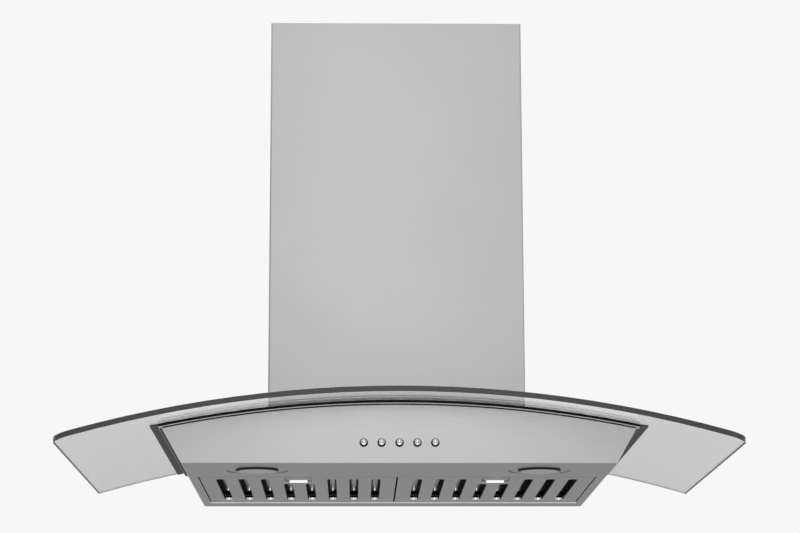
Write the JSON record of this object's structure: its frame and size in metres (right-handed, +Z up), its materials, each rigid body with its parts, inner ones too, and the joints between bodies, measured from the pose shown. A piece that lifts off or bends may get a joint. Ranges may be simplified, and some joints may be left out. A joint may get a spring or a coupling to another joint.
{
  "type": "wall mount range hood",
  "caption": "Wall mount range hood with arched glass canopy, brushed steel body, push buttons, lights, hinged baffle filters, blower and telescopic duct cover.",
  "frame": {"origin": "centre of the four wall screws of the blower box, on the wall plane", "axes": "+X to the right seen from the front, +Y into the wall, +Z up"},
  "size_m": [0.75, 0.5, 0.5586],
  "materials": {
    "glass": "clear tempered glass with polished edges",
    "rubber": "matt black seal",
    "brushed_steel": "fine horizontal brush marks",
    "baffle_steel": "mill finish",
    "polished_steel": "polished",
    "chrome": "mirror chrome",
    "lens": "frosted lens",
    "aluminium": "plain",
    "galvanised_steel": "galvanised",
    "zinc_plate": "zinc plated",
    "shaft_steel": "ground",
    "brass": "turned",
    "motor_paint": "satin paint",
    "black_plastic": "moulded, matt",
    "grey_plastic": "moulded, matt",
    "white_plastic": "moulded, smooth"
  },
  "bodies": {
    "hood": {"blower_box": "galvanised_steel", "box_seal": "rubber", "cable_gland": "black_plastic", "capacitor": "white_plastic", "capacitor_clip": "galvanised_steel", "clamp_nuts": "zinc_plate", "clamp_screws": "zinc_plate", "collar_screws": "zinc_plate", "cover_bracket": "galvanised_steel", "cover_screws": "zinc_plate", "deck": "brushed_steel", "exhaust_collar": "black_plastic", "fan_screws": "zinc_plate", "filter_rail": "brushed_steel", "flap_pins": "zinc_plate", "front_panel": "brushed_steel", "glass_canopy": "glass", "glass_seal": "rubber", "inlet_ring": "black_plastic", "led_bodies": "aluminium", "led_driver": "white_plastic", "led_lenses": "lens", "led_trims": "polished_steel", "lower_duct_cover": "brushed_steel", "motor": "motor_paint", "motor_bracket": "galvanised_steel", "pan": "brushed_steel", "scroll_housing": "grey_plastic", "switch_housing": "black_plastic", "terminal_box": "galvanised_steel", "terminal_lid": "galvanised_steel"},
    "button_1": {"button_1": "chrome"},
    "button_2": {"button_2": "chrome"},
    "button_3": {"button_3": "chrome"},
    "button_4": {"button_4": "chrome"},
    "button_5": {"button_5": "chrome"},
    "filter_left": {"filter_left_face": "brushed_steel", "filter_left_baffles": "baffle_steel"},
    "latch_left": {"filter_left_latch": "polished_steel"},
    "filter_right": {"filter_right_face": "brushed_steel", "filter_right_baffles": "baffle_steel"},
    "latch_right": {"filter_right_latch": "polished_steel"},
    "fan": {"impeller": "aluminium", "motor_shaft": "shaft_steel", "shaft_nut": "brass"},
    "flap_left": {"flap_left": "aluminium"},
    "flap_right": {"flap_right": "aluminium"},
    "upper_cover": {"upper_duct_cover": "brushed_steel"}
  },
  "joints": [
    {"name": "button_1_press", "type": "slide", "parent": "hood", "child": "button_1", "axis": [0, 1, 0], "range_m": [0, 0.003], "stiffness_N_per_m": 400, "springref_m": -0.001},
    {"name": "button_2_press", "type": "slide", "parent": "hood", "child": "button_2", "axis": [0, 1, 0], "range_m": [0, 0.003], "stiffness_N_per_m": 400, "springref_m": -0.001},
    {"name": "button_3_press", "type": "slide", "parent": "hood", "child": "button_3", "axis": [0, 1, 0], "range_m": [0, 0.003], "stiffness_N_per_m": 400, "springref_m": -0.001},
    {"name": "button_4_press", "type": "slide", "parent": "hood", "child": "button_4", "axis": [0, 1, 0], "range_m": [0, 0.003], "stiffness_N_per_m": 400, "springref_m": -0.001},
    {"name": "button_5_press", "type": "slide", "parent": "hood", "child": "button_5", "axis": [0, 1, 0], "range_m": [0, 0.003], "stiffness_N_per_m": 400, "springref_m": -0.001},
    {"name": "filter_left_swing", "type": "hinge", "parent": "hood", "child": "filter_left", "pos_m": [-0.1145, -0.052, -0.2255], "axis": [1, 0, 0], "range_deg": [0, 75]},
    {"name": "latch_left_slide", "type": "slide", "parent": "filter_left", "child": "latch_left", "axis": [0, 1, 0], "range_m": [0, 0.007], "stiffness_N_per_m": 400, "springref_m": -0.002},
    {"name": "filter_right_swing", "type": "hinge", "parent": "hood", "child": "filter_right", "pos_m": [0.1145, -0.052, -0.2255], "axis": [1, 0, 0], "range_deg": [0, 75]},
    {"name": "latch_right_slide", "type": "slide", "parent": "filter_right", "child": "latch_right", "axis": [0, 1, 0], "range_m": [0, 0.007], "stiffness_N_per_m": 400, "springref_m": -0.002},
    {"name": "fan_spin", "type": "hinge", "parent": "hood", "child": "fan", "pos_m": [-0.00675, -0.118, -0.04], "axis": [0, 1, 0], "continuous": true},
    {"name": "flap_left_swing", "type": "hinge", "parent": "hood", "child": "flap_left", "pos_m": [-0.004, -0.118, 0.096], "axis": [0, 1, 0], "range_deg": [0, 80]},
    {"name": "flap_right_swing", "type": "hinge", "parent": "hood", "child": "flap_right", "pos_m": [0.004, -0.118, 0.096], "axis": [0, -1, 0], "range_deg": [0, 80]},
    {"name": "upper_cover_lift", "type": "slide", "parent": "hood", "child": "upper_cover", "axis": [0, 0, 1], "range_m": [0, 0.4]}
  ]
}
